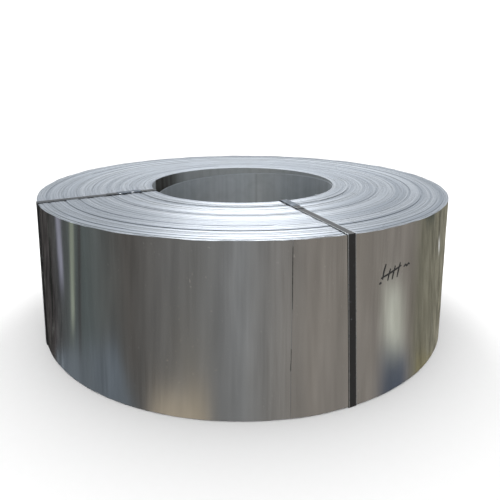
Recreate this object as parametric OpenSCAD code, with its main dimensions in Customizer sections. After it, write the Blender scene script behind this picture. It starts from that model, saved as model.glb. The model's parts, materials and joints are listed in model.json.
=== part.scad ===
// Wound coil of cold-rolled steel strip, standing with its bore upright.
// Two steel straps go through the bore and round the coil's section, each closed by a
// crimped seal. The origin is on the coil's axis, on the plane that the straps stand on.

/* [Strip] */
// Width of the strip, which is the coil's height as it stands
strip_w = 250; // [120:1:400]
// Thickness of the strip
strip_t = 0.6; // [0.3:0.05:1.5]

/* [Winding] */
// Outside diameter of the coil
coil_d = 770; // [600:1:1200]
// Diameter of the bore, which the winding mandrel left
bore_d = 356; // [250:1:450]
// Share of the winding that is steel, the rest being air between the turns
steel_share = 0.97; // [0.90:0.01:1]
// Turns in one band, which stayed level with each other
band_turns = 10; // [5:1:30]
// Furthest that one band stands above another on the coil's ends
telescope = 2.0; // [0:0.1:4]
// Width of the ring of first turns round the bore, which sits low
core_ring_w = 25; // [10:1:40]
// How much lower the ring of first turns sits
core_ring_drop = 0.8; // [0:0.1:2]

/* [Straps] */
// Width of a strap
strap_w = 13; // [8:0.5:32]
// Thickness of a strap
strap_t = 0.5; // [0.3:0.05:1.2]
// Direction of the front strap, counterclockwise from +X
front_strap_angle = -67.5; // [-90:0.5:-40]
// Direction of the side strap, counterclockwise from +X
side_strap_angle = -153.8; // [-180:0.1:-120]
// Gap between a strap's upright runs and the coil's curved walls
strap_gap = 0.05; // [0.02:0.01:0.3]
// Length of the lapped strap that shows between a seal and the bore
lap_lead = 3; // [1:0.5:5]
// Length of the lapped strap that shows past a seal's outer end
lap_tail = 18; // [5:1:30]

/* [Seals] */
// Length of a seal along its strap
seal_len = 42; // [20:1:60]
// Thickness of the sheet that a seal is folded from
seal_t = 0.8; // [0.5:0.1:1.5]
// Gap between a seal's sides and the edges of its strap
seal_gap = 0.1; // [0.05:0.05:0.5]
// Distance from the bore to the front seal
front_seal_inset = 6; // [5:1:60]
// Distance from the bore to the side seal
side_seal_inset = 30; // [5:1:60]
// Crimps along each side of a seal
crimps = 2; // [1:1:4]
// Depth of a crimp
crimp_depth = 2.2; // [1.2:0.1:3]

/* [Hidden] */

coil_r = coil_d / 2;
bore_r = bore_d / 2;
build_up = coil_r - bore_r;

// Bands of turns, from the bore outward
bands = max(3, round(build_up / (band_turns * strip_t / steel_share)));
band_t = build_up / bands;
function band_r(i) = bore_r + i * band_t;

// Telescoping: a slow drift across the winding with a smaller scatter from band to band
drift_waves = 1.75;
scatter_turn = 137.5;
function in_core_ring(i) = band_r(i) + band_t / 2 < bore_r + core_ring_w;
function band_rise(i) = telescope * (0.3 * sin(360 * drift_waves * i / bands) + 0.2 * sin(scatter_turn * i))
    - (in_core_ring(i) ? core_ring_drop : 0);
rises = [for (i = [0:bands - 1]) band_rise(i)];
low_rise = min(rises);

// The lowest band stands on the straps, and the straps lie on the highest band
function band_low(i) = strap_t + rises[i] - low_rise;
top_z = strap_t + max(rises) - low_rise + strip_w;

// Planes of a strap's faces towards the coil
strap_bore_x = sqrt(pow(bore_r, 2) - pow(strap_w / 2, 2)) - strap_gap;
strap_wall_x = coil_r + strap_gap;
bend_r = strap_t;

seal_w = strap_w + 2 * (seal_gap + seal_t);
lap_z = top_z + strap_t;
overcut = 1;

// Rectangle between two corners, with its own corners rounded to r
module rounded_rect(low, high, r) {
    translate(low + [r, 0]) square(high - low - [2 * r, 0]);
    translate(low + [0, r]) square(high - low - [0, 2 * r]);
    for (x = [low.x + r, high.x - r], y = [low.y + r, high.y - r])
        translate([x, y]) circle(r, $fn = 32);
}

// Stands an outline of radius and height upright along a strap's direction
module along_strap(angle) {
    rotate([0, 0, angle]) rotate([90, 0, 0]) linear_extrude(strap_w, center = true) children();
}

module coil() {
    upper = [for (i = [0:bands - 1], r = [band_r(i), band_r(i + 1)]) [r, band_low(i) + strip_w]];
    lower = [for (i = [bands - 1:-1:0], r = [band_r(i + 1), band_r(i)]) [r, band_low(i)]];
    color("silver") rotate_extrude($fn = 240) polygon(concat(upper, lower));
}

// One strap: a closed loop round the coil's section, with its outer end lapped over itself
module strap(angle, seal_inset) {
    along_strap(angle) {
        difference() {
            rounded_rect([strap_bore_x - strap_t, 0], [strap_wall_x + strap_t, lap_z], bend_r);
            translate([strap_bore_x, strap_t]) square([strap_wall_x - strap_bore_x, top_z - strap_t]);
        }
        translate([bore_r + seal_inset - lap_lead, lap_z])
            square([lap_lead + seal_len + lap_tail, strap_t]);
    }
}

// One seal: folded sheet over the two layers of a strap, notched at its crimps
module seal(angle, seal_inset) {
    inner_w = strap_w + 2 * seal_gap;
    rotate([0, 0, angle]) translate([bore_r + seal_inset, 0, top_z]) difference() {
        translate([0, -seal_w / 2, 0]) cube([seal_len, seal_w, 2 * strap_t + seal_t]);
        translate([-overcut, -inner_w / 2, -overcut])
            cube([seal_len + 2 * overcut, inner_w, 2 * strap_t + overcut]);
        for (i = [1:crimps], side = [-1, 1])
            translate([seal_len * i / (crimps + 1), side * seal_w / 2, 0])
                rotate([0, 0, 45]) cube([crimp_depth * sqrt(2), crimp_depth * sqrt(2), 3 * seal_w], center = true);
    }
}

module front_strap() { color("#26272a") strap(front_strap_angle, front_seal_inset); }
module side_strap() { color("#26272a") strap(side_strap_angle, side_seal_inset); }
module front_seal() { color("#5b636c") seal(front_strap_angle, front_seal_inset); }
module side_seal() { color("#5b636c") seal(side_strap_angle, side_seal_inset); }

coil();
front_strap();
side_strap();
front_seal();
side_seal();
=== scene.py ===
"""Finish and surroundings of a strapped coil of cold-rolled steel strip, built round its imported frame.

Laid out as an add-on: the panel's operators wind the strip, lay the straps, fold the seals and set
the stage, in that order, and main() calls them. Lengths are in metres, unless a name or a comment says
millimetres.
"""
import json
import math

import bpy
import numpy as np
from bpy.props import FloatProperty, IntProperty, PointerProperty, StringProperty
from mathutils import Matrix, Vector


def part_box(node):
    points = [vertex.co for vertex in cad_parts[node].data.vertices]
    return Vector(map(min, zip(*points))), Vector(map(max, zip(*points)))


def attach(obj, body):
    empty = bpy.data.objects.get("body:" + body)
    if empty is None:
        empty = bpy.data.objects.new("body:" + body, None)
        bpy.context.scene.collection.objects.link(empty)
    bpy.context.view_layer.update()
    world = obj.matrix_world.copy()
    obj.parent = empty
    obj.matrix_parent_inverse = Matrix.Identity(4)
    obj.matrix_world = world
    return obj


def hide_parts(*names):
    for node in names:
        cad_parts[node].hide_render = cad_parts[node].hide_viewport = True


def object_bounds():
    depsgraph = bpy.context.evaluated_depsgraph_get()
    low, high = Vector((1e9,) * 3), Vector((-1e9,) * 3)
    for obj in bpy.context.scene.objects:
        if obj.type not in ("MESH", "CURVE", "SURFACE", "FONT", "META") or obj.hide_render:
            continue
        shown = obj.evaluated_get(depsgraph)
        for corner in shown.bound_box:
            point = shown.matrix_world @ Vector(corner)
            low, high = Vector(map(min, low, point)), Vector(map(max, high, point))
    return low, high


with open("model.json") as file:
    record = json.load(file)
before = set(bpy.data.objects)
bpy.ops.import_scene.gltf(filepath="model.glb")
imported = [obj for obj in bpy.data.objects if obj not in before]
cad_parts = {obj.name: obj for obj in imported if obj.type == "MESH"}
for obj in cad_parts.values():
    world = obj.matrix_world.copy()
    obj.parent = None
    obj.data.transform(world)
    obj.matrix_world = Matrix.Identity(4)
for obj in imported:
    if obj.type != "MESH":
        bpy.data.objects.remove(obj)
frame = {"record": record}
CAD_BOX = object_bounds()

bl_info = {
    "name": "Strapped steel coil",
    "version": (1, 0, 0),
    "blender": (4, 5, 0),
    "location": "3D View > Sidebar > Steel coil",
    "description": "Winds a coil of steel strip, straps it and lights it",
    "category": "Add Mesh",
}

MM = 0.001
BODY = "root"


# ---------------------------------------------------------------- what the frame says

def mount(name):
    """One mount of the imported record."""
    return next(m for m in frame["record"]["mounts"] if m["name"] == name)


def strap_angle(side):
    """Direction of a strap round the coil's axis, in radians."""
    x, y, _ = mount(f"{side}_strap_underside")["pos_m"]
    return math.atan2(y, x)


COIL_LOW, COIL_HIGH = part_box("coil")
BORE_R = mount("bore")["dims"]["r_mm"] * MM
STRIP_W = mount("bore")["dims"]["length_mm"] * MM
COIL_R = min(COIL_HIGH.x, COIL_HIGH.y, -COIL_LOW.x, -COIL_LOW.y)
FLOOR_Z = CAD_BOX[0].z


# ---------------------------------------------------------------- sizes and colours

def length(name, description, default_mm):
    """A length property, stored in metres and given here in millimetres."""
    return FloatProperty(name=name, description=description, default=default_mm * MM, min=0.0,
                         unit="LENGTH", subtype="DISTANCE", precision=5)


def share(name, description, default):
    """A property from 0 to 1."""
    return FloatProperty(name=name, description=description, default=default, min=0.0, max=1.0,
                         subtype="FACTOR")


def angle(name, description, default_deg):
    """An angle property, given here in degrees."""
    return FloatProperty(name=name, description=description, default=math.radians(default_deg),
                         subtype="ANGLE")


def hex_colour(name, description, default):
    """An sRGB colour property, written as a hex string."""
    return StringProperty(name=name, description=description, default=default)


class CoilSizes(bpy.types.PropertyGroup):
    """Sizes of the wound strip."""
    strip_t: length("Strip thickness", "Thickness of the strip", 0.6)
    air_gap: length("Air gap", "Air between two turns", 0.02)
    turns: IntProperty(name="Drawn turns", description="Turns drawn, each standing for a few real ones",
                       default=107, min=20)
    steps: IntProperty(name="Steps a turn", description="Straight steps in one turn", default=180, min=60)
    gap_share: share("Gap share", "Share of a drawn turn that is the dark gap beside it", 0.06)
    fine_turns: FloatProperty(name="Fine turns", default=3.0,
                              description="Turns at each end of the strip drawn at their real spacing")
    tail_angle: angle("Tail", "Direction of the strip's outer end", -80.4)
    inner_angle: angle("Inner end", "Direction of the strip's inner end", 173)
    core_ring: length("Core ring", "Width of the first turns, which sit low", 25)
    inner_drop: length("Inner drop", "How low the innermost turn's upper edge sits at its end", 27)
    inner_standoff: length("Inner stand-off", "How far the strip's inner end springs off the bore", 5)
    edge_wave: length("Edge wave", "Height of the waves in the outer turns' edges", 0.35)
    settled: length("Settled", "How far the coil's left side is pressed out of round", 3)


class StrapSizes(bpy.types.PropertyGroup):
    """Sizes of the straps and their seals."""
    width: length("Strap width", "Width of a strap", 13)
    thickness: length("Strap thickness", "Thickness of a strap", 0.5)
    front_rim: angle("Front strap at the rim", "Where the front strap crosses the rim", -68.3)
    front_foot: angle("Front strap at the foot", "Where the front strap goes under the coil", -66.4)
    front_bore: angle("Front strap at the bore", "Where the front strap enters the bore", -67.2)
    side_rim: angle("Side strap at the rim", "Where the side strap crosses the rim", -152.4)
    side_foot: angle("Side strap at the foot", "Where the side strap goes under the coil", -152.6)
    side_bore: angle("Side strap at the bore", "Where the side strap enters the bore", -155.2)
    seal_len: length("Seal length", "Length of a seal", 42)
    seal_t: length("Seal thickness", "Thickness of a seal's sheet", 0.8)
    front_inset: length("Front seal inset", "Distance from the bore to the front seal", 6)
    side_inset: length("Side seal inset", "Distance from the bore to the side seal", 30)
    crimp_depth: length("Crimp depth", "How far a crimp is pressed into a seal's side", 2.2)
    lap_lead: length("Lap lead", "Lapped strap between a seal and the bore", 3)
    lap_tail: length("Lap tail", "Lapped strap past a seal's outer end", 18)


class Finishes(bpy.types.PropertyGroup):
    """Colours of the metals and paints."""
    strip: hex_colour("Strip", "Bright cold-rolled steel", "#BDBFC0")
    strip_edge: hex_colour("Strip edge", "Slit edge of the strip", "#C7CBD0")
    strap: hex_colour("Strap", "Black strap paint", "#131416")
    strap_worn: hex_colour("Strap wear", "Steel where the paint has worn through", "#8A9097")
    seal: hex_colour("Seal", "Dull blued sheet", "#4B525B")
    sheared: hex_colour("Sheared metal", "Bare metal at crimps and burrs", "#E2E5E8")
    ink: hex_colour("Marker", "Black marker ink", "#17181A")
    floor: hex_colour("Floor", "Pale floor", "#F6F6F6")


# ---------------------------------------------------------------- colour and node helpers

def linear(code):
    """Linear RGBA of an sRGB hex colour."""
    channels = [int(code[i:i + 2], 16) / 255 for i in (1, 3, 5)]
    return [c / 12.92 if c <= 0.04045 else ((c + 0.055) / 1.055) ** 2.4 for c in channels] + [1.0]


def add(tree, kind, inputs=None, **settings):
    """Adds a node: settings are its attributes, inputs are values or sockets to link by name or number."""
    node = tree.nodes.new(kind)
    for key, value in settings.items():
        setattr(node, key, value)
    for key, value in (inputs or {}).items():
        if isinstance(value, bpy.types.NodeSocket):
            tree.links.new(value, node.inputs[key])
        else:
            node.inputs[key].default_value = value
    return node


def calc(tree, operation, a, b=0.0, clamp=False):
    """The result of one sum."""
    return add(tree, "ShaderNodeMath", {0: a, 1: b}, operation=operation, use_clamp=clamp).outputs[0]


def fade(tree, value, low, high, start=0.0, end=1.0):
    """value mapped smoothly from low..high to start..end."""
    node = add(tree, "ShaderNodeMapRange", {"Value": value, "From Min": low, "From Max": high,
                                            "To Min": start, "To Max": end},
               interpolation_type="SMOOTHSTEP")
    return node.outputs["Result"]


def blend_colour(tree, share_socket, a, b):
    """Colour a where the share is 0 and b where it is 1."""
    node = add(tree, "ShaderNodeMix", data_type="RGBA")
    for socket, value in ((node.inputs[0], share_socket), (node.inputs[6], a), (node.inputs[7], b)):
        if isinstance(value, bpy.types.NodeSocket):
            tree.links.new(value, socket)
        else:
            socket.default_value = value
    return node.outputs[2]


def new_material(name):
    """A new material: (material, its node tree, its surface shader)."""
    material = bpy.data.materials.new(name)
    material.use_nodes = True
    shader = material.node_tree.nodes["Principled BSDF"]
    return material, material.node_tree, shader


def connect(tree, shader, links):
    """Links each value to the shader's socket of that name."""
    for socket, value in links.items():
        tree.links.new(value, shader.inputs[socket])


def rolled_grain(tree, shader, strength):
    """Bare metal whose gloss is drawn out across its rolling grain, which runs round the axis."""
    tangent = add(tree, "ShaderNodeTangent", direction_type="RADIAL", axis="Z").outputs[0]
    tree.links.new(tangent, shader.inputs["Tangent"])
    shader.inputs["Metallic"].default_value = 1.0
    shader.inputs["Anisotropic"].default_value = strength
    shader.inputs["Anisotropic Rotation"].default_value = 0.25


def polar(tree):
    """Place on the piece: (x, y, z, distance from the axis) in metres."""
    place = add(tree, "ShaderNodeTexCoord").outputs["Object"]
    x, y, z = add(tree, "ShaderNodeSeparateXYZ", {0: place}).outputs
    flat = add(tree, "ShaderNodeCombineXYZ", {"X": x, "Y": y}).outputs[0]
    radius = add(tree, "ShaderNodeVectorMath", {0: flat}, operation="LENGTH").outputs["Value"]
    return x, y, z, radius


def noise(tree, x, y, z, size, detail=2.0, roughness=0.5):
    """Noise from 0 to 1 at a place, with size its grain in the place's own unit."""
    vector = add(tree, "ShaderNodeCombineXYZ", {"X": x, "Y": y, "Z": z}).outputs[0]
    node = add(tree, "ShaderNodeTexNoise", {"Vector": vector, "Scale": 1 / size, "Detail": detail,
                                            "Roughness": roughness})
    return node.outputs["Fac"]


def ring_noise(tree, polar_place, across, along, seed=0.0, detail=2.0):
    """Noise in rings round the axis: across is a ring's width and along its run, both in metres."""
    x, y, _, radius = polar_place
    run = COIL_R / along
    return noise(tree, calc(tree, "ADD", calc(tree, "DIVIDE", radius, across), seed),
                 calc(tree, "MULTIPLY", calc(tree, "DIVIDE", x, radius), run),
                 calc(tree, "MULTIPLY", calc(tree, "DIVIDE", y, radius), run), 1.0, detail)


def bump(tree, height, depth, normal=None):
    """A normal raised by height (0 to 1) times depth in metres."""
    inputs = {"Height": height, "Distance": depth, "Strength": 1.0}
    if normal is not None:
        inputs["Normal"] = normal
    return add(tree, "ShaderNodeBump", inputs).outputs["Normal"]


# ---------------------------------------------------------------- materials

def cold_rolled_strip(finish):
    """Cold-rolled carbon steel strip, ground-roll finish: bright, and blurred far more across the rolling
    grain than along it, so what it mirrors is drawn out into upright streaks."""
    material, tree, shader = new_material("cold_rolled_strip")
    x, y, z, _ = polar(tree)
    # oil film and storage stain, in patches of 60 to 200 mm
    film = noise(tree, x, y, calc(tree, "MULTIPLY", z, 0.5), 0.09, 3.0)
    # slight flutes set into the strip across its length, 6 to 30 mm apart
    flutes = noise(tree, x, y, calc(tree, "MULTIPLY", z, 0.06), 0.016, 3.0, 0.55)
    # lines of dried oil wiped across the strip, 1 to 6 mm wide, in places
    wiped = noise(tree, x, y, calc(tree, "MULTIPLY", z, 0.03), 0.0045, 3.0, 0.6)
    where = fade(tree, noise(tree, x, y, calc(tree, "MULTIPLY", z, 0.25), 0.05, 2.0), 0.4, 0.65)
    # pinhead spots of dust and dried oil
    spots = fade(tree, noise(tree, x, y, z, 0.004, 1.0), 0.74, 0.78)
    tone = blend_colour(tree, fade(tree, film, 0.35, 0.7, 0.0, 0.3), linear(finish.strip), linear("#A3A29B"))
    streaks = calc(tree, "MULTIPLY", fade(tree, wiped, 0.35, 0.7, 0.0, 0.24), where)
    tone = blend_colour(tree, streaks, tone, linear("#8F8D8A"))
    tone = blend_colour(tree, calc(tree, "MULTIPLY", spots, 0.4), tone, linear("#DADAD6"))
    rough = calc(tree, "ADD", fade(tree, film, 0.3, 0.75, 0.085, 0.125), calc(tree, "MULTIPLY", spots, 0.1))
    connect(tree, shader, {"Base Color": tone, "Roughness": rough, "Normal": bump(tree, flutes, 0.00004)})
    rolled_grain(tree, shader, 0.85)
    return material


def mandrel_rubbed_strip(finish):
    """The strip's inner turns, rubbed dull by the mandrel's segments: a soft even grey with upright marks
    where the segments met."""
    material, tree, shader = new_material("mandrel_rubbed_strip")
    x, y, z, _ = polar(tree)
    # rub marks across the strip, 3 to 20 mm wide
    rubs = noise(tree, x, y, calc(tree, "MULTIPLY", z, 0.03), 0.014, 2.0, 0.5)
    # dust, in patches of 30 to 100 mm
    dust = noise(tree, x, y, z, 0.05, 3.0)
    # joints between the mandrel's four segments: dark lines 3 mm wide
    run = calc(tree, "MULTIPLY", calc(tree, "ARCTAN2", y, x), 2 / math.pi)
    part = calc(tree, "FRACT", calc(tree, "ADD", run, 0.62))
    joint = calc(tree, "ABSOLUTE", calc(tree, "SUBTRACT", part, 0.5))
    joint = fade(tree, joint, 0.003, 0.014, 0.16, 0.0)
    tone = blend_colour(tree, fade(tree, rubs, 0.3, 0.7), linear("#B9BEC1"), linear("#C6CACD"))
    tone = blend_colour(tree, fade(tree, dust, 0.4, 0.7, 0.0, 0.3), tone, linear("#8E9190"))
    tone = blend_colour(tree, joint, tone, linear("#4A4D4C"))
    connect(tree, shader, {"Base Color": tone, "Roughness": fade(tree, dust, 0.3, 0.7, 0.44, 0.54),
                           "Normal": bump(tree, rubs, 0.00003)})
    rolled_grain(tree, shader, 0.5)
    return material


def painted_shade_strip(finish):
    """The turn behind the inner end, with painted shade where the end sprang away from it: dark beside the
    end, and as pale as the other inner turns an eighth of a turn on."""
    material, tree, shader = new_material("painted_shade_strip")
    x, y, z, _ = polar(tree)
    # uneven runs, 5 to 20 mm wide, in the painted shade and the roughness
    runs = noise(tree, x, y, calc(tree, "MULTIPLY", z, 0.1), 0.012, 2.0)
    # along x, the painted shade starts at the first of these places and covers the strip from the second
    starts, covers = -0.115, -0.175
    painted_shade_share = calc(tree, "ADD", fade(tree, x, starts, covers), fade(tree, runs, 0.3, 0.7, -0.1, 0.12), clamp=True)
    tone = blend_colour(tree, painted_shade_share, linear("#B4B7B7"), linear("#4B4943"))
    connect(tree, shader, {"Base Color": tone, "Roughness": fade(tree, runs, 0.3, 0.7, 0.44, 0.54)})
    rolled_grain(tree, shader, 0.5)
    return material


def slit_edge(finish):
    """Slit edges of the same strip, burnished and torn by the knives: a file-like face of fine rings that
    throws light out sideways from each ring and so fans it across the coil's end."""
    material, tree, shader = new_material("slit_edge")
    place = polar(tree)
    x, y, z, _ = place
    # single turns, at their real spacing of 0.62 mm
    turns = ring_noise(tree, place, 0.00062, 0.3)
    # groups of turns slit with sharper or blunter knives, 3 to 12 mm wide
    groups = ring_noise(tree, place, 0.0035, 1.6, 40.0, 3.0)
    wide = ring_noise(tree, place, 0.014, 2.5, 90.0, 2.0)
    both = calc(tree, "ADD", calc(tree, "MULTIPLY", groups, 0.6), calc(tree, "MULTIPLY", wide, 0.4))
    # rust bloom and dirt caught between the turns, in patches of 20 to 80 mm
    bloom = fade(tree, noise(tree, x, y, z, 0.035, 4.0, 0.6), 0.55, 0.75)
    tone = blend_colour(tree, fade(tree, both, 0.35, 0.65), linear("#A3A9B1"), linear(finish.strip_edge))
    tone = blend_colour(tree, fade(tree, turns, 0.25, 0.5, 0.35, 0.0), tone, linear("#6A6F76"))
    tone = blend_colour(tree, calc(tree, "MULTIPLY", bloom, 0.22), tone, linear("#94958C"))
    rough = fade(tree, both, 0.3, 0.7, 0.50, 0.43)
    normal = bump(tree, turns, 0.00008)
    normal = bump(tree, groups, 0.00012, normal)
    connect(tree, shader, {"Base Color": tone, "Roughness": rough, "Normal": normal})
    rolled_grain(tree, shader, 0.45)
    return material


def strap_paint(finish):
    """Black painted and waxed steel strapping: satin black, rubbed to bare steel here and there."""
    material, tree, shader = new_material("strap_paint")
    x, y, z, _ = polar(tree)
    # paint rubbed through in flecks of 2 to 8 mm
    rub = fade(tree, noise(tree, x, y, z, 0.006, 4.0, 0.6), 0.64, 0.74)
    tone = blend_colour(tree, calc(tree, "MULTIPLY", rub, 0.4), linear(finish.strap),
                        linear(finish.strap_worn))
    rough = fade(tree, noise(tree, x, y, z, 0.02, 3.0), 0.3, 0.7, 0.34, 0.48)
    normal = bump(tree, noise(tree, x, y, z, 0.003, 3.0), 0.00005)
    connect(tree, shader, {"Base Color": tone, "Roughness": rough, "Normal": normal})
    return material


def rubbed_edge(finish):
    """A strap's margins, where tensioning and handling have rubbed the paint to grey steel."""
    material, tree, shader = new_material("rubbed_edge")
    x, y, z, _ = polar(tree)
    # paint that is left, in specks of 2 to 10 mm
    left = fade(tree, noise(tree, x, y, z, 0.005, 3.0, 0.6), 0.52, 0.66, 0.0, 0.7)
    tone = blend_colour(tree, left, linear("#B3B7B9"), linear(finish.strap))
    connect(tree, shader, {"Base Color": tone, "Metallic": fade(tree, left, 0.0, 0.7, 1.0, 0.4)})
    shader.inputs["Roughness"].default_value = 0.36
    return material


def blued_seal(finish):
    """Blued steel seal: dull dark sheet, a little paler where it was handled."""
    material, tree, shader = new_material("blued_seal")
    x, y, z, _ = polar(tree)
    # oxide scale, in patches of 3 to 10 mm
    scale = noise(tree, x, y, z, 0.008, 4.0, 0.6)
    tone = blend_colour(tree, fade(tree, scale, 0.4, 0.7), linear(finish.seal), linear("#6C737B"))
    connect(tree, shader, {"Base Color": tone, "Roughness": fade(tree, scale, 0.3, 0.7, 0.36, 0.52),
                           "Normal": bump(tree, scale, 0.00006)})
    shader.inputs["Metallic"].default_value = 0.9
    return material


def sheared_metal(finish):
    """Freshly sheared steel, as at crimps and burrs: bare, pale and torn, so it sparkles in small facets."""
    material, tree, shader = new_material("sheared_metal")
    x, y, z, _ = polar(tree)
    # tear marks about 0.4 mm apart
    tears = noise(tree, x, y, z, 0.0004, 2.0)
    tone = blend_colour(tree, fade(tree, tears, 0.3, 0.6), linear("#B4B9BE"), linear(finish.sheared))
    connect(tree, shader, {"Base Color": tone, "Roughness": fade(tree, tears, 0.3, 0.7, 0.3, 0.5),
                           "Normal": bump(tree, tears, 0.0001)})
    shader.inputs["Metallic"].default_value = 1.0
    return material


def marker_ink(finish):
    """Felt marker ink on oiled steel: matt black, thinner where the tip skipped."""
    material, tree, shader = new_material("marker_ink")
    x, y, z, _ = polar(tree)
    # skips of the felt tip, 1 to 3 mm long
    skips = fade(tree, noise(tree, x, y, z, 0.002, 3.0), 0.55, 0.75)
    tone = blend_colour(tree, calc(tree, "MULTIPLY", skips, 0.6), linear(finish.ink), linear("#4E5050"))
    connect(tree, shader, {"Base Color": tone, "Roughness": fade(tree, skips, 0.0, 1.0, 0.45, 0.6)})
    return material


def joint_shadow_line(finish):
    """A dark line of painted shadow along the joint at the strip's outer end."""
    material, tree, shader = new_material("joint_shadow_line")
    x, y, z, _ = polar(tree)
    # blotches, 2 to 6 mm long, in the painted shadow's tone and roughness
    blotches = noise(tree, x, y, z, 0.004, 2.0)
    tone = blend_colour(tree, fade(tree, blotches, 0.3, 0.7), linear("#2B2C29"), linear("#4A4B46"))
    connect(tree, shader, {"Base Color": tone, "Roughness": fade(tree, blotches, 0.3, 0.7, 0.25, 0.5)})
    return material


def floor_paper(finish):
    """Matt pale backdrop paper: no gloss, with the faint mottle of its fibres."""
    material, tree, shader = new_material("floor_paper")
    x, y, z, _ = polar(tree)
    # fibre mottle, 5 to 20 mm
    mottle = noise(tree, x, y, z, 0.012, 2.0)
    tone = blend_colour(tree, fade(tree, mottle, 0.3, 0.7, 0.0, 0.06), linear(finish.floor),
                        linear("#ECECEA"))
    connect(tree, shader, {"Base Color": tone})
    shader.inputs["Roughness"].default_value = 0.9
    shader.inputs["Specular IOR Level"].default_value = 0.1
    return material


# ---------------------------------------------------------------- meshes

def new_piece(name, vertices, faces, materials, material_of=None, sharp_deg=35):
    """A smooth-shaded mesh piece that rides on the coil's body, kept inside the frame's height."""
    vertices = np.array(vertices)
    vertices[:, 2] = np.clip(vertices[:, 2], CAD_BOX[0].z, CAD_BOX[1].z)
    mesh = bpy.data.meshes.new(name)
    mesh.from_pydata(vertices, [], faces)
    mesh.update()
    for material in materials:
        mesh.materials.append(material)
    if material_of is not None:
        mesh.polygons.foreach_set("material_index", np.asarray(material_of, np.int32))
    mesh.shade_smooth()
    mesh.set_sharp_from_angle(angle=math.radians(sharp_deg))
    piece = bpy.data.objects.new(name, mesh)
    bpy.context.scene.collection.objects.link(piece)
    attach(piece, BODY)
    return piece


def joined(parts):
    """Several (vertices, faces, materials) as one."""
    vertices, faces, materials, base = [], [], [], 0
    for v, f, m in parts:
        vertices.append(v)
        faces += [[i + base for i in face] for face in f]
        materials.append(m)
        base += len(v)
    return np.concatenate(vertices), faces, np.concatenate(materials)


def swept(sections, flip=False):
    """Skin over closed sections of equal point counts, with capped ends: (vertices, faces). The sides come
    first, section by section, and the two caps last."""
    count, around = len(sections), len(sections[0])
    station = np.arange(count - 1)[:, None] * around
    k = np.arange(around)[None, :]
    after = (k + 1) % around
    quads = np.stack([station + k, station + around + k, station + around + after, station + after], 2)
    quads = quads.reshape(-1, 4)
    last = (count - 1) * around
    caps = [list(range(around)), list(range(last + around - 1, last - 1, -1))]
    if flip:
        quads = quads[:, ::-1]
        caps = [cap[::-1] for cap in caps]
    return np.asarray(sections).reshape(-1, 3), quads.tolist() + caps


def smooth_step(x):
    """0 below 0, 1 above 1, and a smooth rise between them."""
    x = np.clip(x, 0.0, 1.0)
    return x * x * (3 - 2 * x)


def bell(x, middle, width):
    """1 in the middle, falling off over the width."""
    return np.exp(-((x - middle) / width) ** 2)


def wander(at, spacing, seed):
    """A smooth random course from -1 to 1, with a new value every spacing."""
    knots = np.random.default_rng(seed).uniform(-1, 1, int(np.max(at) / spacing) + 3)
    place = np.asarray(at) / spacing
    i = place.astype(int)
    return knots[i] + (knots[i + 1] - knots[i]) * smooth_step(place - i)


def away(angles, degrees):
    """How far directions lie from one direction, in degrees, from -180 to 180."""
    return np.mod(np.degrees(angles) - degrees + 180, 360) - 180


# Rings of turns that sit low: (radius, width, how low, all in mm)
LOW_RINGS = ((209, 5, 1.1), (228, 3, 0.5), (262, 3, 0.5), (298, 13, 0.6), (318, 4, 0.9), (340, 4, 1.0),
             (352, 3, 0.6), (367, 4, 0.8), (377, 2, 0.5))


class Winding:
    """The strip's path: everything is a function of the turn count from its inner end."""

    def __init__(self, sizes):
        self.sizes = sizes
        part = (sizes.inner_angle - sizes.tail_angle) / (2 * math.pi) % 1.0
        count = round((sizes.turns + part) * sizes.steps)
        self.turns = count / sizes.steps
        self.real_pitch = sizes.strip_t + sizes.air_gap
        self.at = np.arange(count + 1) / sizes.steps
        left = self.turns - self.at
        fine = smooth_step(self.at / sizes.fine_turns) * smooth_step(left / sizes.fine_turns)
        spread = COIL_R - sizes.strip_t - BORE_R - self.real_pitch * self.turns
        pitch = self.real_pitch + spread * sizes.steps / fine[:-1].sum() * fine
        self.radii = BORE_R + np.concatenate([[0.0], np.cumsum(pitch[:-1]) / sizes.steps])

    def inner(self, at):
        """Radius of the strip's inner face."""
        return np.interp(at, self.at, self.radii)

    def thickness(self, at):
        """Drawn thickness: the strip's own on the outer turn, and elsewhere what fills its turn."""
        room = self.inner(np.minimum(at + 1, self.turns)) - self.inner(np.minimum(at, self.turns - 1))
        filled = room * (1 - self.sizes.gap_share)
        return np.where(at >= self.turns - 1, self.sizes.strip_t, filled)

    def direction(self, at):
        """Angle round the axis: the strip winds out clockwise, and its outer end lies at the tail."""
        return self.sizes.tail_angle + (self.turns - at) * 2 * math.pi

    def rise(self, at):
        """Telescoping: how far the strip stands above its lowest place."""
        room = COIL_HIGH.z - COIL_LOW.z - STRIP_W
        radius = self.inner(at)
        drift = 0.2 * np.sin(at / self.turns * 11.0 + 0.6)
        groups = 0.16 * wander(at, 5.0, 11) + 0.16 * wander(at, 1.7, 12)
        single = 0.10 * wander(at, 0.31, 13)
        low = -0.3 * (radius < BORE_R + self.sizes.core_ring)
        height = room * (0.68 + drift + groups + single + low)
        for ring, width, depth in LOW_RINGS:
            height = height - depth * MM * (np.abs(radius - ring * MM) < width * MM / 2)
        outer = smooth_step((radius - COIL_R + 8 * MM) / (4 * MM))
        waves = np.sin(self.direction(at) * 23 + at * 4) + 0.6 * np.sin(self.direction(at) * 41 + at * 9)
        return np.clip(height + outer * self.sizes.edge_wave * waves, 0.0, room)

    def lean(self, at):
        """How far the outer side of a turn's edge stands above its inner side, as a slope."""
        return 0.07 * wander(at, 0.9, 21) + 0.05 * wander(at, 2.7, 22)


def settle(depth, angles, z, radius=COIL_R):
    """How far the coil is pressed out of round: most at its upper left, and none at the bore."""
    part = 0.45 + 0.55 * (z - COIL_LOW.z) / STRIP_W
    return depth * part * bell(away(angles, -172), 0, 34) * (radius - BORE_R) / (COIL_R - BORE_R)


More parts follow.
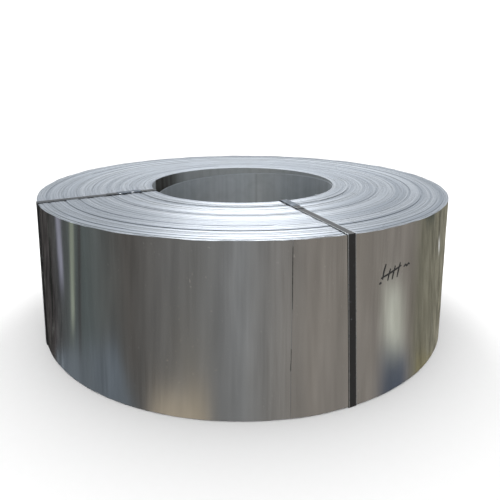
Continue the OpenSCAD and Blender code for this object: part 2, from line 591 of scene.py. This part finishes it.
def buckle(angles, z):
    """How far the outer turn's face lies from a true round: slow swells, and ripples near its right side."""
    height = (z - COIL_LOW.z) / STRIP_W
    turn = np.degrees(angles)
    swell = 0.07 * np.sin(angles * 5 + 1.0 + height) + 0.03 * np.sin(angles * 13 + height * 3.0)
    right = bell(away(angles, -27), 0, 13)
    ripple = right * (0.10 * np.sin(height * 17 + turn * 0.35) + 0.05 * np.sin(height * 41 - turn * 0.5))
    left = bell(away(angles, -150), 0, 9)
    ripple = ripple + left * 0.05 * np.sin(height * 9 + turn * 0.6)
    return MM * (swell + ripple - 0.28)


def sweep_strip(winding, start, end, levels, inward=None, drop=None, bulge=None, leaning=False, face=0,
                lip=None):
    """Strip from one turn count to another: (vertices, faces, material numbers). levels are the heights
    of its rows of points, as shares of its width. Its edges are material 1, its sides are face, and the
    highest row of its inner side is lip if that is given."""
    steps = winding.sizes.steps
    at = np.arange(round(start * steps), round(end * steps) + 1) / steps
    angles = winding.direction(at)
    inner = winding.inner(at)
    thick = winding.thickness(at)
    low = COIL_LOW.z + winding.rise(at)
    high = low + STRIP_W
    if drop is not None:
        high = high - drop(at)
    tip = 0.5 * thick * winding.lean(at) if leaning else 0.0
    rows = len(levels)
    section = []
    for radius, order, side in ((inner + thick, levels, 1), (inner, levels[::-1], -1)):
        for level in order:
            z = low + (high - low) * level
            z = np.clip(z + side * tip * (1 if level == 1 else -1), COIL_LOW.z, COIL_HIGH.z)
            r = radius - settle(winding.sizes.settled, angles, z, radius)
            if inward is not None:
                r = r - inward(at)
            if bulge is not None:
                r = r + bulge(angles, z)
            section.append(np.stack([r * np.cos(angles), r * np.sin(angles), z], 1))
    vertices, faces = swept(np.stack(section, 1), flip=True)
    around = 2 * rows
    row_material = np.where(np.arange(around) % rows == rows - 1, 1, face)
    if lip is not None:
        row_material[rows] = lip
    material_of = np.tile(row_material, len(at) - 1)
    return vertices, faces, np.concatenate([material_of, [1, 1]])


# ---------------------------------------------------------------- straps, seals and small marks

# Air left between a strap and the coil's end, its bore and its wall
END_AIR, BORE_AIR, WALL_AIR = 0.02 * MM, 0.3 * MM, 0.03 * MM
# The lapped end: the run it takes to climb, the run that is sprung up at its end, and how high
CLIMB_MM, SPRUNG_MM, SPRING = 5, 13, 0.55 * MM
# Materials of the ten faces round a strap: 0 is painted and 2 is an edge rubbed bare.
STRAP_FACES = (0, 0, 0, 0, 0, 2, 0, 2, 0, 0)
# Faces of a seal's two sides, and where its crimps lie, as shares of its length
SEAL_SIDES, CRIMPS = (0, 1, 2, 8, 9, 10), (0.34, 0.88)


def toward(direction):
    """Level unit vector in a direction given in radians."""
    return np.array([math.cos(direction), math.sin(direction), 0.0])


class StrapLine:
    """One strap's course: corners at the bore and the rim, above and below the coil."""

    def __init__(self, sizes, side, settled):
        self.sizes = sizes
        bore, rim, foot = (getattr(sizes, f"{side}_{place}") for place in ("bore", "rim", "foot"))
        self.inset = getattr(sizes, f"{side}_inset")
        half = sizes.thickness / 2
        self.over = COIL_HIGH.z + half + END_AIR
        under = FLOOR_Z + half
        near = BORE_R - half - BORE_AIR
        high_far, low_far = (COIL_R - settle(settled, direction, z) + half + WALL_AIR
                             for direction, z in ((rim, self.over), (foot, under)))
        self.corners = [toward(bore) * near, toward(rim) * high_far,
                        toward(foot) * low_far, toward(bore) * near]
        for corner, z in zip(self.corners, (self.over, self.over, under, under)):
            corner[2] = z

    def run(self):
        """Unit vector along the upper run, outward, and the level one across it."""
        along = self.corners[1] - self.corners[0]
        along = along / np.linalg.norm(along)
        return along, np.array([-along[1], along[0], 0.0])


def strap_section(middle, across, normal, width, thickness):
    """Ten points round a strap with rolled edges and a rubbed margin along each."""
    w, t = width / 2, thickness / 2
    margin = w - 1.2 * MM
    corners = ((-w, -0.4 * t), (-w + 0.6 * t, -t), (w - 0.6 * t, -t), (w, -0.4 * t), (w, 0.4 * t),
               (w - 0.6 * t, t), (margin, t), (-margin, t), (-w + 0.6 * t, t), (-w, 0.4 * t))
    return [middle + across * u + normal * v for u, v in corners]


def bent_path(corners, bend, steps=5, spacing=0.012):
    """Points and normals along a closed loop of straight runs with rounded corners."""
    points, normals = [], []
    count = len(corners)
    centre = sum(corners) / count
    for i in range(count):
        here, before, after = corners[i], corners[i - 1], corners[(i + 1) % count]
        back = (before - here) / np.linalg.norm(before - here)
        on = (after - here) / np.linalg.norm(after - here)
        for k in range(steps + 1):
            turn = math.pi / 2 * k / steps
            points.append(here + bend * (back + on) - bend * (on * math.cos(turn) + back * math.sin(turn)))
            normals.append(-(on * math.cos(turn) + back * math.sin(turn)))
        start, stop = here + on * bend, after - on * bend
        pieces = max(2, round(np.linalg.norm(stop - start) / spacing))
        outward = np.array([0, 0, 1.0]) if abs(on[2]) < 0.5 else (here + after) / 2 * np.array([1, 1, 0])
        outward = outward / np.linalg.norm(outward)
        if (outward @ ((start + stop) / 2 - centre)) < 0:
            outward = -outward
        for k in range(1, pieces):
            points.append(start + (stop - start) * k / pieces)
            normals.append(outward)
    return np.array(points), np.array(normals)


def lay_strap(sizes, side, settled):
    """One strap with its lapped end: (vertices, faces, materials)."""
    line = StrapLine(sizes, side, settled)
    points, normals = bent_path(line.corners, 0.7 * MM)
    closed = np.arange(len(points) + 1) % len(points)
    along = np.roll(points, -1, 0) - np.roll(points, 1, 0)
    across = np.cross(normals, along)
    across /= np.linalg.norm(across, axis=1)[:, None]
    loop = [strap_section(points[i], across[i], normals[i], sizes.width, sizes.thickness) for i in closed]
    vertices, faces = swept(loop)
    faces = faces[:-2]
    parts = [(vertices, faces, np.tile(STRAP_FACES, len(loop) - 1))]

    # the outer end, which climbs over the inner one and springs up past its seal
    run, over = line.run()
    start = line.corners[0] + run * (line.inset - sizes.lap_lead - CLIMB_MM * MM)
    lap_mm = (CLIMB_MM * MM + sizes.lap_lead + sizes.seal_len + sizes.lap_tail) / MM
    up = np.array([0, 0, 1.0])
    lap = []
    for s in np.linspace(0, lap_mm, 40):
        climb = smooth_step(s / CLIMB_MM) * (sizes.thickness + END_AIR)
        spring = SPRING * smooth_step((s - lap_mm + SPRUNG_MM) / SPRUNG_MM) ** 2
        lap.append(strap_section(start + run * s * MM + up * (climb + spring), over, up, sizes.width,
                                 sizes.thickness))
    vertices, faces = swept(lap)
    parts.append((vertices, faces, np.concatenate([np.tile(STRAP_FACES, len(lap) - 1), [1, 1]])))
    return joined(parts)


def fold_seal(sizes, side, settled):
    """One seal: sheet folded over both layers, its sides pressed in and torn at two crimps."""
    line = StrapLine(sizes, side, settled)
    run, over = line.run()
    up = np.array([0, 0, 1.0])
    start = line.corners[0] + run * line.inset
    start[2] = COIL_HIGH.z
    sections, pressed = [], []
    sheet = sizes.seal_t
    room = 2 * sizes.thickness + 0.1 * MM
    for s in np.linspace(0, 1, 57):
        press = sum(bell(s, c, 0.045) for c in CRIMPS)
        half = sizes.width / 2 + 0.1 * MM - sizes.crimp_depth * 0.75 * press
        outside = half + sheet + 0.35 * MM * press
        top = room + sheet * (0.9 - 0.35 * press)
        crown = 0.08 * sheet
        right = [(outside, 0.02 * MM), (outside, top * 0.55), (outside - 0.3 * sheet, top * 0.88),
                 (outside - 0.75 * sheet, top), (outside * 0.5, top + crown), (0.0, top + 1.3 * crown)]
        inside = [(half, 0.02 * MM), (half, room * 0.8), (half - 0.2 * sheet, room), (0.0, room)]
        outline = right + [(-u, v) for u, v in right[-2::-1]] + [(-u, v) for u, v in inside] \
            + [(u, v) for u, v in inside[-2::-1]]
        sections.append([start + run * s * sizes.seal_len + over * u + up * v for u, v in outline])
        pressed.append(press)
    vertices, faces = swept(sections)
    around = len(sections[0])
    material_of = np.zeros(len(faces), int)
    for i in range(len(sections) - 1):
        if pressed[i] > 0.25:
            for k in SEAL_SIDES:
                material_of[i * around + k] = 1
    material_of[-2:] = 1
    return vertices, faces, material_of


def ink_and_shadow_stroke(points_mm, middle_angle, middle_z, width):
    """A stroke on the outer turn, for the felt-tip ink and for the painted shadow at the tail, through points
    given as (across, up) in millimetres.
    """
    points = np.array(points_mm, float)
    gaps = np.hypot(*np.diff(points, axis=0).T)
    at = np.concatenate([[0], np.cumsum(gaps)])
    dense = np.linspace(0, at[-1], max(6, int(at[-1] / 1.2)))
    u, v = np.interp(dense, at, points[:, 0]), np.interp(dense, at, points[:, 1])
    along = np.stack([np.gradient(u), np.gradient(v)], 1)
    along /= np.linalg.norm(along, axis=1)[:, None]
    taper = width / 2 * (0.55 + 0.45 * np.sin(np.pi * np.linspace(0.12, 0.9, len(dense))))
    sections = []
    for i in range(len(dense)):
        ring = []
        for offset, proud in ((-1, 0.0), (-0.6, 0.07), (0.6, 0.07), (1, 0.0), (0, -0.25)):
            uu = u[i] - along[i, 1] * taper[i] * offset
            vv = v[i] + along[i, 0] * taper[i] * offset
            angle_here = middle_angle + uu * MM / COIL_R
            z = middle_z + vv * MM
            r = COIL_R + buckle(np.array(angle_here), np.array(z)) + proud * MM
            ring.append([r * math.cos(angle_here), r * math.sin(angle_here), z])
        sections.append(ring)
    vertices, faces = swept(np.array(sections))
    return vertices, faces, np.zeros(len(faces), int)


def sliver(place, out, size, lift, thickness=0.0004):
    """A torn sliver of edge metal, curling up and out from its root."""
    out = out / np.linalg.norm(out)
    side = np.array([-out[1], out[0], 0.0])
    up = np.array([0, 0, 1.0])
    sections = []
    for s in (0.0, 0.35, 0.7, 1.0):
        middle = place + out * size * s + up * lift * s ** 1.6
        half = size * 0.28 * (1.05 - s)
        sections.append([middle - side * half, middle + side * half,
                         middle + side * half * 0.6 + up * thickness,
                         middle - side * half * 0.6 + up * thickness])
    vertices, faces = swept(sections)
    return vertices, faces, np.zeros(len(faces), int)


# ---------------------------------------------------------------- operators

# Shares of the first turn over which its dropped end rises, and over which it springs off the bore
DROP_RUN, SPRING_RUN = 0.68, 0.2


class COIL_OT_wind(bpy.types.Operator):
    """Wind the strip into its coil"""
    bl_idname = "steel_coil.wind"
    bl_label = "Wind coil"

    def execute(self, context):
        sizes, finish = context.scene.coil_sizes, context.scene.coil_finishes
        winding = Winding(sizes)
        turns = winding.turns

        def inner_drop(at):
            return sizes.inner_drop * np.clip(1 - at / DROP_RUN, 0, 1) ** 1.7

        def spring(at):
            return sizes.inner_standoff * np.clip(1 - at / SPRING_RUN, 0, 1) ** 2

        ends = [0.0, 1.0]
        parts = [
            sweep_strip(winding, 0, 1, [0.0, 0.3, 0.6, 0.9, 0.992, 1.0], inward=spring, drop=inner_drop,
                        face=2, lip=4),
            # turns 1 to 3 carry the painted shade beside the strip's dropped inner end
            sweep_strip(winding, 1, 3, ends, leaning=True, face=3),
            sweep_strip(winding, 3, turns - 1, ends, leaning=True),
            sweep_strip(winding, turns - 1, turns, np.linspace(0, 1, 31).tolist(), bulge=buckle),
        ]
        vertices, faces, material_of = joined(parts)
        steels = [cold_rolled_strip(finish), slit_edge(finish), mandrel_rubbed_strip(finish),
                  painted_shade_strip(finish), sheared_metal(finish)]
        coil = new_piece("wound_strip", vertices, faces, steels, material_of)
        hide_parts("coil")
        return {"FINISHED"}


class COIL_OT_burrs(bpy.types.Operator):
    """Raise the torn burrs on the strip's edges"""
    bl_idname = "steel_coil.burrs"
    bl_label = "Raise burrs"

    def execute(self, context):
        rng = np.random.default_rng(7)
        top = COIL_HIGH.z - 0.5 * MM
        parts = []
        # (how many, from, to in degrees, radius, outward or inward, longest in mm)
        for count, start, stop, radius, way, longest in (
                (34, 95, 190, BORE_R + 1.5 * MM, -1, 3.0), (12, 20, 60, BORE_R + 1.5 * MM, -1, 2.5),
                (26, 85, 190, COIL_R - 7 * MM, 1, 3.2), (14, -60, 80, COIL_R - 6 * MM, 1, 2.4),
                (22, -170, 170, COIL_R - 80 * MM, 1, 1.8)):
            for _ in range(count):
                turn = math.radians(rng.uniform(start, stop))
                spread = rng.uniform(-1, 1) * (50 * MM if longest < 2 else 1 * MM)
                out = way * toward(turn + rng.uniform(-0.7, 0.7))
                place = toward(turn) * (radius + spread) + np.array([0, 0, top])
                size = rng.uniform(0.4, 1) * longest * MM
                lift = rng.uniform(0.2, 0.9) * MM
                parts.append(sliver(place, out, size, lift))
        # three large ones: at the bore's edge, and two chips on the end
        for degrees, radius, way, size in ((-43.8, 183, -1, 5.0), (-58.6, 371, 1, 3.6), (-26, 354, 1, 3.0)):
            turn = math.radians(degrees)
            place = toward(turn) * radius * MM + np.array([0, 0, top + 0.3 * MM])
            parts.append(sliver(place, way * toward(turn + 0.3), size * MM, 1.2 * MM, 0.0007))
        vertices, faces, material_of = joined(parts)
        metal = sheared_metal(context.scene.coil_finishes)
        burrs = new_piece("edge_burrs", vertices, faces, [metal], material_of)
        return {"FINISHED"}


# The tally strokes: their direction, how far below the top they lie, their scale and width in mm
TALLY_ANGLE, TALLY_DROP, TALLY_SCALE, TALLY_WIDTH = math.radians(-56.1), 67 * MM, 1.2, 3.0


class COIL_OT_mark(bpy.types.Operator):
    """Draw the shop's plain tally strokes on the outer turn"""
    bl_idname = "steel_coil.mark"
    bl_label = "Draw marker strokes"

    def execute(self, context):
        strokes = (
            [(-26, -10), (-24.5, -8), (-23, -9.5)],
            [(-17, 13), (-20, 4), (-21.5, -5)],
            [(-9, 6), (-11.5, -1), (-13, -8)],
            [(-1, 8), (-3.5, 0), (-5.5, -8)],
            [(8, 10), (5, 1), (3, -7)],
            [(-24, -3), (-8, 1), (10, 6)],
            [(15, 3), (18, 5.5), (21, 3), (24, 5.5), (27, 4)],
        )
        finish = context.scene.coil_finishes
        middle_z = COIL_HIGH.z - TALLY_DROP
        parts = [ink_and_shadow_stroke([(TALLY_SCALE * along, TALLY_SCALE * up) for along, up in stroke],
                               TALLY_ANGLE, middle_z, TALLY_WIDTH) for stroke in strokes]
        vertices, faces, material_of = joined(parts)
        marks = new_piece("tally_ink_strokes", vertices, faces, [marker_ink(finish)], material_of)

        # stretches of the painted shadow line at the tail's joint: its two ends below the top, the lower
        # end's shift and its width, in mm
        tail = context.scene.coil_sizes.tail_angle
        joint = [ink_and_shadow_stroke([(-0.2, high), (0.0, (high + low) / 2), (shift, low)], tail,
                               COIL_HIGH.z, wide) for high, low, shift, wide in
                 ((-10, -94, 0.4, 0.9), (-150, -182, -0.8, 0.5))]
        vertices, faces, material_of = joined(joint)
        line = new_piece("tail_shadow_line", vertices, faces, [joint_shadow_line(finish)], material_of)
        return {"FINISHED"}


class COIL_OT_straps(bpy.types.Operator):
    """Lay the two straps"""
    bl_idname = "steel_coil.straps"
    bl_label = "Lay straps"

    def execute(self, context):
        scene, finish = context.scene, context.scene.coil_finishes
        paint, bare, rubbed = strap_paint(finish), sheared_metal(finish), rubbed_edge(finish)
        for side in ("front", "side"):
            vertices, faces, material_of = lay_strap(scene.strap_sizes, side, scene.coil_sizes.settled)
            strap = new_piece(f"{side}_strap_band", vertices, faces, [paint, bare, rubbed], material_of)
            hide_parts(f"{side}_strap")
        return {"FINISHED"}


class COIL_OT_seals(bpy.types.Operator):
    """Fold and crimp the two seals"""
    bl_idname = "steel_coil.seals"
    bl_label = "Fold seals"

    def execute(self, context):
        scene, finish = context.scene, context.scene.coil_finishes
        blued, bare = blued_seal(finish), sheared_metal(finish)
        for side in ("front", "side"):
            vertices, faces, material_of = fold_seal(scene.strap_sizes, side, scene.coil_sizes.settled)
            seal = new_piece(f"{side}_seal_sheet", vertices, faces, [blued, bare], material_of)
            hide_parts(f"{side}_seal")
        return {"FINISHED"}


class COIL_OT_stage(bpy.types.Operator):
    """Set the floor, the light and the camera"""
    bl_idname = "steel_coil.stage"
    bl_label = "Set stage"

    def execute(self, context):
        scene = context.scene
        make_floor(scene)
        make_world(scene)
        make_lights(scene)
        make_camera(scene)
        scene.view_settings.view_transform = "Standard"
        scene.cycles.caustics_reflective = False
        return {"FINISHED"}


def make_floor(scene):
    """A plain pale floor that isn't mirrored in the steel."""
    mesh = bpy.data.meshes.new("floor")
    # a hair below the coil, so that the two don't share a face
    half, z = 60.0, FLOOR_Z - 0.0002
    corners = [(-half, -half, z), (half, -half, z), (half, half, z), (-half, half, z)]
    mesh.from_pydata(corners, [], [(0, 1, 2, 3)])
    floor = bpy.data.objects.new("floor", mesh)
    mesh.materials.append(floor_paper(scene.coil_finishes))
    scene.collection.objects.link(floor)
    floor.visible_glossy = False


# Strength of the even white light
SOFT_LIGHT = 1.3

# The colours and places below are rounded from worked-out ones, and their names are only labels.
HEDGE, SHADE, SHED, KERB = "#404840", "#282C28", "#504C4C", "#808890"
WET_EARTH, EARTH, CONCRETE, SANDY_CONCRETE, SCRUB = "#707878", "#706C68", "#A0A0A0", "#A8A098", "#908C7C"

# What stands at ground level: (place in the round, colour). The round goes from 0 straight behind the
# coil to 0.25 at its left, 0.5 in front, 0.75 at its right and 1 behind again.
YARD = ((0.0, HEDGE), (0.05, SHADE), (0.15, SHED), (0.25, WET_EARTH), (0.33, EARTH), (0.50, CONCRETE),
        (0.60, SANDY_CONCRETE), (0.77, SANDY_CONCRETE), (0.80, SCRUB), (0.90, SCRUB), (1.0, HEDGE))

# Things in front of them: left, right, bottom, top (degrees above the horizon), colour, soft edge at the
# sides, soft edge above and below, and how far it leans in the round for each degree down
BOARDS = (
    (0.08, 0.26, -60.0, -27.0, KERB, 0.02, 2.0, 0.004),
    (0.15, 0.16, -27.0, -10.0, SHADE, 0.004, 4.0, -0.001),
    (0.18, 0.20, -23.0, -8.0, "#B0B0C0", 0.005, 4.0, 0.0),  # a pale sheet
    (0.22, 0.235, -27.0, -8.0, "#B0B8A8", 0.005, 3.0, -0.001),  # a post
    (0.24, 0.25, -30.0, -8.0, SHED, 0.005, 3.0, -0.001),  # the post's shade
    (0.34, 0.47, -60.0, -32.0, "#D8C8B0", 0.04, 4.0, 0.0),  # a low heap of sand
    (0.69, 0.77, -31.0, -20.0, "#F0F0E0", 0.04, 4.0, 0.001),  # a white panel
    (0.70, 0.80, -60.0, -27.0, "#606878", 0.04, 3.0, 0.0),  # the panel's shadow
    (0.80, 0.88, -60.0, -28.0, "#A09878", 0.01, 1.0, 0.0),  # planks
    (0.80, 0.84, -15.0, -9.0, "#384848", 0.01, 2.0, 0.0),  # a doorway
    (0.86, 0.87, -18.0, -16.0, "#FFFFFF", 0.004, 1.0, 0.0),  # a lamp
)


def make_world(scene):
    """Even white light, and for the steel to mirror, a yard with its boards, posts and pale sky."""
    world = bpy.data.worlds.new("studio")
    scene.world = world
    world.use_nodes = True
    tree = world.node_tree
    tree.nodes.clear()
    towards = add(tree, "ShaderNodeTexCoord").outputs["Generated"]
    x, y, z = add(tree, "ShaderNodeSeparateXYZ", {0: towards}).outputs
    turn = calc(tree, "ADD", calc(tree, "MULTIPLY", calc(tree, "ARCTAN2", x, calc(tree, "MULTIPLY", y, -1.0)),
                                  1 / (2 * math.pi)), 0.5)
    above = calc(tree, "MULTIPLY", calc(tree, "ARCSINE", z), 180 / math.pi)

    ramp = add(tree, "ShaderNodeValToRGB", {"Fac": turn})
    for i, (at, colour) in enumerate(YARD):
        element = ramp.color_ramp.elements[i] if i < 2 else ramp.color_ramp.elements.new(at)
        element.position = at
        element.color = linear(colour)
    yard = ramp.outputs["Color"]

    for left, right, bottom, top, colour, soft, soft_rise, leaning in BOARDS:
        shifted = calc(tree, "ADD", turn, calc(tree, "MULTIPLY", calc(tree, "ADD", above, 14.0), leaning))
        shown = 1.0
        for value, low, high in ((shifted, left, left + soft), (shifted, right, right - soft),
                                 (above, bottom, bottom + soft_rise), (above, top, top - soft_rise)):
            shown = calc(tree, "MULTIPLY", shown, fade(tree, value, low, high))
        yard = blend_colour(tree, shown, yard, linear(colour))

    # posts, weeds and joints, too narrow to tell apart: 1 to 3 degrees wide
    grain = noise(tree, x, y, calc(tree, "MULTIPLY", z, 0.15), 0.03, 3.0, 0.65)
    coarse = noise(tree, x, y, calc(tree, "MULTIPLY", z, 0.6), 0.12, 3.0)
    strength = calc(tree, "ADD", fade(tree, grain, 0.25, 0.75, 0.86, 1.14),
                    fade(tree, coarse, 0.3, 0.7, -0.12, 0.12))
    # leaves and rubble to the left and right, in clumps of 1 to 5 degrees
    leaves = noise(tree, x, y, z, 0.035, 4.0, 0.65)
    beside = calc(tree, "MAXIMUM", fade(tree, turn, 0.21, 0.15, 0.0, 1.7), fade(tree, turn, 0.77, 0.82))
    leafy = calc(tree, "MULTIPLY", beside, fade(tree, leaves, 0.36, 0.66, -0.38, 0.42))
    strength = calc(tree, "ADD", strength, leafy)
    glints = fade(tree, noise(tree, x, y, z, 0.022, 1.0), 0.70, 0.76)
    yard = blend_colour(tree, calc(tree, "MULTIPLY", calc(tree, "MULTIPLY", glints, beside), 0.7), yard,
                        linear("#C9CCC6"))
    yard = add(tree, "ShaderNodeVectorMath", {0: yard, "Scale": strength}, operation="SCALE").outputs[0]

    # the sky is dimmer low down behind the coil
    sky = blend_colour(tree, fade(tree, above, 5.0, 50.0), linear("#C3C8CE"), linear("#E9EEF2"))
    seen = blend_colour(tree, fade(tree, above, -9.0, -1.0), yard, sky)
    rays = add(tree, "ShaderNodeLightPath").outputs
    mirrored = add(tree, "ShaderNodeBackground", {"Color": seen, "Strength": 1.0}).outputs[0]
    soft = add(tree, "ShaderNodeBackground", {"Color": linear("#FFFFFF"), "Strength": SOFT_LIGHT}).outputs[0]
    # straight behind the floor, the same white that the floor shows
    backdrop = add(tree, "ShaderNodeBackground", {"Color": linear(scene.coil_finishes.floor),
                                                  "Strength": SOFT_LIGHT}).outputs[0]
    light = add(tree, "ShaderNodeMixShader", {0: rays["Is Glossy Ray"], 1: soft, 2: mirrored}).outputs[0]
    light = add(tree, "ShaderNodeMixShader", {0: rays["Is Camera Ray"], 1: light, 2: backdrop}).outputs[0]
    add(tree, "ShaderNodeOutputWorld", {"Surface": light})


def make_lights(scene):
    """A short soft bar above the coil's far edge, which draws a bright fan across its end's near half."""
    data = bpy.data.lights.new("soft_bar", "AREA")
    data.shape = "RECTANGLE"
    data.size, data.size_y = 0.62, 0.10
    data.energy = 6.6
    panel = bpy.data.objects.new("soft_bar", data)
    panel.location = (0.03, 0.5, 1.0)
    panel.rotation_euler = (Vector((0, 0, 0.25)) - panel.location).to_track_quat("-Z", "Y").to_euler()
    scene.collection.objects.link(panel)
    panel.visible_camera = False


def make_camera(scene):
    """A camera a little above the coil, near enough that the near wall swells."""
    top = Vector((0, 0, COIL_HIGH.z))
    distance, above = 2.5717 * COIL_R, math.radians(10.95)
    tilt, turn = math.radians(10.165), math.radians(0.40)
    data = bpy.data.cameras.new("camera")
    data.sensor_width = 36
    data.lens = 35.44
    data.shift_x, data.shift_y = 0.0088, -0.15
    camera = bpy.data.objects.new("camera", data)
    camera.location = top + Vector((0, -distance * math.cos(above), distance * math.sin(above)))
    forward = Vector((math.sin(turn) * math.cos(tilt), math.cos(turn) * math.cos(tilt), -math.sin(tilt)))
    camera.rotation_mode = "QUATERNION"
    camera.rotation_quaternion = forward.to_track_quat("-Z", "Y")
    scene.collection.objects.link(camera)
    scene.camera = camera


# ---------------------------------------------------------------- panel and main

class COIL_PT_panel(bpy.types.Panel):
    """Steel coil"""
    bl_label = "Steel coil"
    bl_space_type = "VIEW_3D"
    bl_region_type = "UI"
    bl_category = "Steel coil"

    def draw(self, context):
        scene = context.scene
        for group in (scene.coil_sizes, scene.strap_sizes, scene.coil_finishes):
            box = self.layout.box()
            for name in group.__annotations__:
                box.prop(group, name)
        for step in STEPS:
            self.layout.operator(step.bl_idname)


STEPS = (COIL_OT_wind, COIL_OT_burrs, COIL_OT_mark, COIL_OT_straps, COIL_OT_seals, COIL_OT_stage)
CLASSES = (CoilSizes, StrapSizes, Finishes, *STEPS, COIL_PT_panel)


def register():
    for cls in CLASSES:
        bpy.utils.register_class(cls)
    bpy.types.Scene.coil_sizes = PointerProperty(type=CoilSizes)
    bpy.types.Scene.strap_sizes = PointerProperty(type=StrapSizes)
    bpy.types.Scene.coil_finishes = PointerProperty(type=Finishes)


def unregister():
    del bpy.types.Scene.coil_finishes
    del bpy.types.Scene.strap_sizes
    del bpy.types.Scene.coil_sizes
    for cls in reversed(CLASSES):
        bpy.utils.unregister_class(cls)


def main():
    register()
    for step in STEPS:
        group, name = step.bl_idname.split(".")
        getattr(getattr(bpy.ops, group), name)()


if __name__ == "__main__":
    main()
